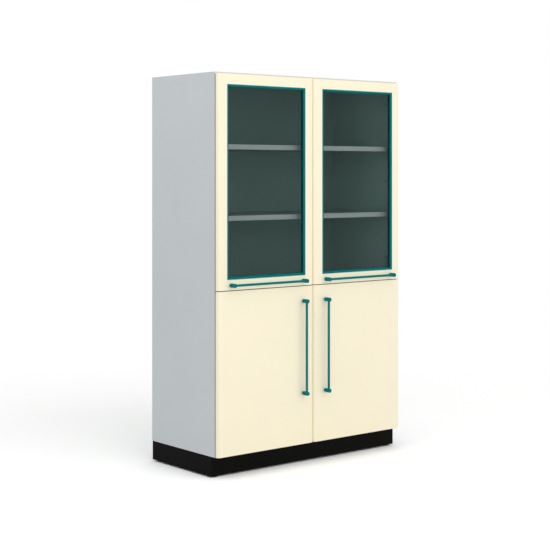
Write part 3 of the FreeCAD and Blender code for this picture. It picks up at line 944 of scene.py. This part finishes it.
@dataclass(frozen=True)
class Carcass:
    """Fixed boards of the cabinet and the fittings screwed to them."""

    body: str = "carcass"
    plate_thickness: float = 2.5
    plate_screw_line: float = 19.0
    plate_screw_spread: float = 16.0
    arm_screws: tuple[float, float] = (12.0, 33.0)
    catch_screw_spread: float = 17.0
    buffer_shoulder: float = 0.55
    dome_steps: int = 5

    def build(self) -> None:
        """Builds the boards and the fittings."""
        # The sides' inner faces carry painted shade: a darker, greener copy of their grey.
        for side in Side:
            # Their front edges carry painted shade below the doors' top, the gap's shadow; above
            # it the light band is their own colour.
            Board(f"side_panel_{side.value}", self.body, GREY_MELAMINE, Slot.CARCASS,
                  ((Faces.INSIDE, SHADED_INNER_MELAMINE), (Faces.FRONT_EDGE, GAP_SHADE_EDGE_BAND),
                   (Faces.CORNER, LIGHT_EDGE_BAND))).build()
        Board("top_panel", self.body, GREY_MELAMINE, Slot.CARCASS,
              ((Faces.FRONT_EDGE, LIGHT_EDGE_BAND),)).build()
        for node in ("bottom_panel", "middle_panel"):
            Board(node, self.body, GREY_MELAMINE, Slot.CARCASS).build()
        Board("back_panel", self.body, LACQUERED_BACK, Slot.BACK, eased=0.3).build()
        self.dress_joints()
        self.dress_hinges()
        self.dress_catches()
        self.round_buffers()

    def dress_joints(self) -> None:
        """Finishes the cam fittings and cuts the cross that a screwdriver turns them by."""
        dress("cam_fittings", ZINC_PLATE)
        dress("cam_bolts", ZINC_PLATE)
        seats = [Seat(Vector((cam.centre.x, cam.centre.y, cam.low.z)), DOWNWARDS)
                 for cam in solids("cam_fittings")]
        CAM_FACE.drive("cam_faces", seats, ZINC_PLATE, self.body)

    def dress_hinges(self) -> None:
        """Finishes the hinge plates and arms and sets their screws."""
        dress("hinge_plates", GREY_EPOXY)
        dress("hinge_arms", GREY_EPOXY)
        seats = []
        for plate in solids("hinge_plates"):
            inward = -math.copysign(1.0, plate.centre.x)
            wall = plate.low.x if inward > 0 else plate.high.x
            wing = wall + inward * self.plate_thickness
            for rise in (-self.plate_screw_spread, self.plate_screw_spread):
                seats.append(Seat(Vector((wing, plate.low.y + self.plate_screw_line,
                                          plate.centre.z + rise)), (inward, 0.0, 0.0)))
        for arm in solids("hinge_arms"):
            inward = -math.copysign(1.0, arm.centre.x)
            face = arm.high.x if inward > 0 else arm.low.x
            for back in self.arm_screws:
                seats.append(Seat(Vector((face, arm.high.y - back, arm.centre.z)),
                                  (inward, 0.0, 0.0)))
        HINGE_SCREW.drive("hinge_plate_screws", seats, NICKEL_PLATE, self.body)

    def dress_catches(self) -> None:
        """Finishes the catch housings and sets the two screws that hold each one."""
        dress("magnet_catches", WHITE_ABS)
        seats = [Seat(Vector((catch.centre.x + shift, catch.centre.y, catch.low.z)), DOWNWARDS)
                 for catch in solids("magnet_catches")
                 for shift in (-self.catch_screw_spread, self.catch_screw_spread)]
        CATCH_SCREW.drive("catch_screws", seats, ZINC_PLATE, self.body)

    def round_buffers(self) -> None:
        """Turns the buffers as soft domes on their flat backs."""
        shape = bmesh.new()
        for buffer in solids("door_buffers"):
            radius = (buffer.high.x - buffer.low.x) / 2
            height = buffer.high.y - buffer.low.y
            shoulder = self.buffer_shoulder * height
            bend = [QUARTER_TURN * step / self.dome_steps for step in range(self.dome_steps)]
            outline = [(radius, 0.0)]
            outline += [(radius * math.cos(turn), shoulder + (height - shoulder) * math.sin(turn))
                        for turn in bend]
            turn_up(shape, outline, height, Vector((buffer.centre.x, buffer.high.y,
                                                    buffer.centre.z)))
        put("door_buffer_domes", mesh_from(shape, "door_buffers"), [CLEAR_RUBBER], self.body,
            ["door_buffers"])


def turn_up(shape: bmesh.types.BMesh, outline: Sequence[tuple[float, float]], tip: float,
            foot: Vector, segments: int = 32) -> None:
    """Adds a closed turned form that stands out towards the front.

    Args:
        shape: bmesh that takes it.
        outline: pairs of radius and height, from the flat back to the tip.
        tip: height of the point on the axis.
        foot: middle of the flat back.
        segments: number of faces round the axis.
    """
    turns = [2.0 * math.pi * step / segments for step in range(segments)]
    rings = [[shape.verts.new((foot + Vector((radius * math.cos(turn), -height,
                                              radius * math.sin(turn)))) * MM)
              for turn in turns] for radius, height in outline]
    top = shape.verts.new((foot - Vector((0.0, tip, 0.0))) * MM)
    made = [shape.faces.new(rings[0])]
    for at in range(segments):
        after = (at + 1) % segments
        for lower, upper in zip(rings, rings[1:]):
            made.append(shape.faces.new((lower[at], lower[after], upper[after], upper[at])))
        made.append(shape.faces.new((rings[-1][at], rings[-1][after], top)))
    bmesh.ops.recalc_face_normals(shape, faces=made)


@dataclass(frozen=True)
class Shelving:
    """Loose shelves and the pins they rest on."""

    body: str = "carcass"
    shelves: tuple[str, ...] = ("upper_shelf_high", "upper_shelf_low", "lower_shelf")

    def build(self) -> None:
        """Builds the shelves, their faces darkened as painted shade and their front edges pale,
        and finishes the pins.
        """
        for node in self.shelves:
            Board(node, self.body, SHADED_SHELF_MELAMINE, Slot.SHELF,
                  ((Faces.FRONT_EDGE, PALE_EDGE_BAND),), eased=0.9).build()
        dress("shelf_pins", NICKEL_PLATE)


@dataclass(frozen=True)
class Base:
    """Plinth boards and the blocks in their corners."""

    body: str = "carcass"

    def build(self) -> None:
        """Builds the plinth and finishes the corner blocks."""
        for edge in (*Place, *Side):
            Board(f"plinth_{edge.value}", self.body, BLACK_MELAMINE, Slot.PLINTH).build()
        Board("foot_blocks", self.body, PLANED_BEECH, Slot.BLOCK, eased=1.0).build()


@dataclass(frozen=True)
class LevellingFoot:
    """A moulded pad on a threaded stem."""

    place: Place
    side: Side
    root_radius: float = 4.2
    pitch: float = 1.5
    play: float = 0.02

    def build(self) -> None:
        """Finishes the pad and cuts the stem's thread."""
        body = f"foot_{self.place.value}_{self.side.value}"
        dress(f"{body}_pad", BLACK_POLYPROPYLENE)
        stem = Box.of(f"{body}_stem")
        crest = (stem.high.x - stem.low.x) / 2 - self.root_radius - self.play
        foot = Seat(Vector((stem.centre.x, stem.centre.y, stem.low.z)), (0.0, 0.0, 1.0))
        wound = thread_tool().run(
            seats_mesh(f"{body}_thread", [foot]), ZINC_PLATE, Root_Radius=self.root_radius * MM,
            Crest=crest * MM, Pitch=self.pitch * MM, Length=(stem.high.z - stem.low.z) * MM)
        put(f"{body}_threaded_stem", wound, [ZINC_PLATE], body, [f"{body}_stem"])


@dataclass(frozen=True)
class Glazing:
    """Trim, pane and bead of an upper door."""

    name: str
    body: str
    lap: float = 4.0
    face: float = 6.5
    splay: float = 5.0
    soft: float = 0.5

    def build(self) -> None:
        """Builds the mitred trim and bead round the pane."""
        trim = Box.of(f"{self.name}_glazing_trim")
        board = Box.of(f"{self.name}_door_frame")
        toe = self.face + self.splay
        section = ((0.0, board.low.y), (0.0, trim.low.y), (self.face, trim.low.y),
                   (toe, trim.high.y), (self.lap, trim.high.y), (self.lap, board.low.y))
        mesh = MitredFrame(trim, section).mesh(f"{self.name}_trim")
        ease(put(f"{self.name}_mitred_trim", mesh, [TEAL_TRIM], self.body,
                 [f"{self.name}_glazing_trim"]), self.soft)
        bead = Box.of(f"{self.name}_glazing_bead")
        width = toe - self.lap
        section = ((0.0, bead.low.y), (width, bead.low.y), (width, bead.high.y),
                   (0.0, bead.high.y))
        mesh = MitredFrame(bead, section).mesh(f"{self.name}_bead")
        ease(put(f"{self.name}_mitred_bead", mesh, [TEAL_BEAD], self.body,
                 [f"{self.name}_glazing_bead"]), self.soft)
        dress(f"{self.name}_glass", GREY_GREEN_GLASS)


@dataclass(frozen=True)
class Door:
    """One door with all that is fixed to it."""

    tier: Tier
    side: Side
    ear_inset: float = 7.0
    eased: float = 0.5
    shortest_edge: float = 1.0

    @property
    def name(self) -> str:
        """Start of the names of the door's nodes."""
        return f"{self.tier.value}_{self.side.value}"

    @property
    def body(self) -> str:
        """CAD body of the door."""
        return f"{self.name}_door"

    def build(self) -> None:
        """Builds the door and its fittings."""
        glazed = self.tier is Tier.UPPER
        board = f"{self.name}_door_frame" if glazed else f"{self.name}_door_board"
        # The doors' ends are tan as painted shade for the gaps between them.
        Board(board, self.body, CREAM_LAMINATE, Slot.DOOR, ((Faces.ENDS, GAP_SHADE_TAN_BAND),),
              self.eased, self.shortest_edge).build()
        if glazed:
            Glazing(self.name, self.body).build()
        self.dress_handle(Box.of(board).high.y)
        self.dress_hinges()

    def dress_handle(self, door_back: float) -> None:
        """Finishes the handle and sets the screws that hold it from behind.

        Args:
            door_back: place of the door's back along Y.
        """
        dress(f"{self.name}_handle_bar", TEAL_POWDER_COAT)
        dress(f"{self.name}_handle_posts", TEAL_POWDER_COAT)
        seats = [Seat(Vector((post.centre.x, door_back, post.centre.z)), TOWARDS_BACK)
                 for post in solids(f"{self.name}_handle_posts")]
        HANDLE_SCREW.drive(f"{self.name}_handle_screws", seats, ZINC_PLATE, self.body)

    def dress_hinges(self) -> None:
        """Finishes the hinge cups, pins and catch plate and sets the screws of the cups."""
        dress(f"{self.name}_hinge_cups", GREY_EPOXY)
        dress(f"{self.name}_hinge_pins", NICKEL_PLATE)
        dress(f"{self.name}_catch_plate", ZINC_PLATE)
        seats = []
        for cup in solids(f"{self.name}_hinge_cups"):
            for height in (cup.low.z + self.ear_inset, cup.high.z - self.ear_inset):
                seats.append(Seat(Vector((cup.centre.x, cup.high.y, height)), TOWARDS_BACK))
        HINGE_SCREW.drive(f"{self.name}_cup_screws", seats, NICKEL_PLATE, self.body)


@dataclass(frozen=True)
class Lamp:
    """A soft lamp aimed at the middle of the cabinet."""

    name: str
    at_m: tuple[float, float, float]
    size_m: float
    watts: float


@dataclass(frozen=True)
class Studio:
    """Floor, even world light and soft lamps."""

    floor_half_m: float = 12.0
    world_light: float = 0.72
    aim_m: tuple[float, float, float] = (0.0, 0.0, 0.95)
    lamps: tuple[Lamp, ...] = (
        Lamp("key_lamp", (-0.2, -5.0, 3.6), 8.0, 145.0),
        Lamp("fill_lamp", (-2.4, -0.6, 3.8), 1.8, 14.0),
    )

    def build(self) -> None:
        """Sets up the floor, the world and the lamps."""
        self.lay_floor()
        self.light_world()
        for lamp in self.lamps:
            light = bpy.data.lights.new(lamp.name, "AREA")
            light.size = lamp.size_m
            light.energy = lamp.watts
            stand = add_object(lamp.name, light)
            stand.location = lamp.at_m
            aim = Vector(self.aim_m) - Vector(lamp.at_m)
            stand.rotation_euler = aim.to_track_quat("-Z", "Y").to_euler()
        bpy.context.scene.view_settings.view_transform = "Standard"

    def lay_floor(self) -> None:
        """Lays the floor that the feet stand on."""
        half = self.floor_half_m
        mesh = bpy.data.meshes.new("studio_floor")
        mesh.from_pydata([(-half, -half, 0.0), (half, -half, 0.0), (half, half, 0.0),
                          (-half, half, 0.0)], [], [(0, 1, 2, 3)])
        mesh.materials.append(PALE_FLOOR.material())
        floor = add_object("studio_floor", mesh)

    def light_world(self) -> None:
        """Lights evenly from all round and shows plain white behind the part."""
        world = bpy.data.worlds.new("studio_white")
        world.use_nodes = True
        world.node_tree.nodes.clear()
        tree = world.node_tree
        even, white = (add_node(tree, "ShaderNodeBackground", {
            "Strength": strength, "Color": linear(WHITE)}) for strength in (self.world_light, 1.0))
        both = add_node(tree, "ShaderNodeMixShader", {
            0: seen_directly(tree), 1: even.outputs[0], 2: white.outputs[0]})
        add_node(tree, "ShaderNodeOutputWorld", {"Surface": both.outputs[0]})
        bpy.context.scene.world = world


@dataclass(frozen=True)
class PhotoView:
    """Camera at the photograph's station, level and shifted as a view camera is.

    The station is measured from the middle of the cabinet, its door faces and the floor.
    """

    left_m: float = 4.3386
    before_doors_m: float = 4.8167
    eye_m: float = 1.4279
    heading_deg: float = 38.547
    focal_px: float = 1313.1
    axis_px: tuple[float, float] = (234.383, 172.708)
    frame_px: float = 550.0
    sensor: float = 36.0

    def build(self) -> None:
        """Sets up the camera."""
        lens = bpy.data.cameras.new("photo_view")
        lens.sensor_width = self.sensor
        lens.lens = self.focal_px / self.frame_px * self.sensor
        lens.shift_x = (self.frame_px / 2 - self.axis_px[0]) / self.frame_px
        lens.shift_y = (self.axis_px[1] - self.frame_px / 2) / self.frame_px
        camera = add_object("photo_view", lens)
        door_face = Box.of("upper_left_door_frame").low.y * MM
        camera.location = (-self.left_m, door_face - self.before_doors_m, self.eye_m)
        camera.rotation_euler = (QUARTER_TURN, 0.0, -math.radians(self.heading_deg))
        bpy.context.scene.camera = camera


def write_sizes() -> None:
    """Updates the view layer."""
    bpy.context.view_layer.update()


def main() -> None:
    """Builds the cabinet's parts in order, then the studio and the camera."""
    logging.basicConfig(level=logging.INFO, format="%(message)s")
    feet = [LevellingFoot(place, side) for place in Place for side in Side]
    doors = [Door(tier, side) for tier in Tier for side in Side]
    for part in (Carcass(), Shelving(), Base(), *feet, *doors, Studio(), PhotoView()):
        part.build()
    write_sizes()


if __name__ == "__main__":
    main()
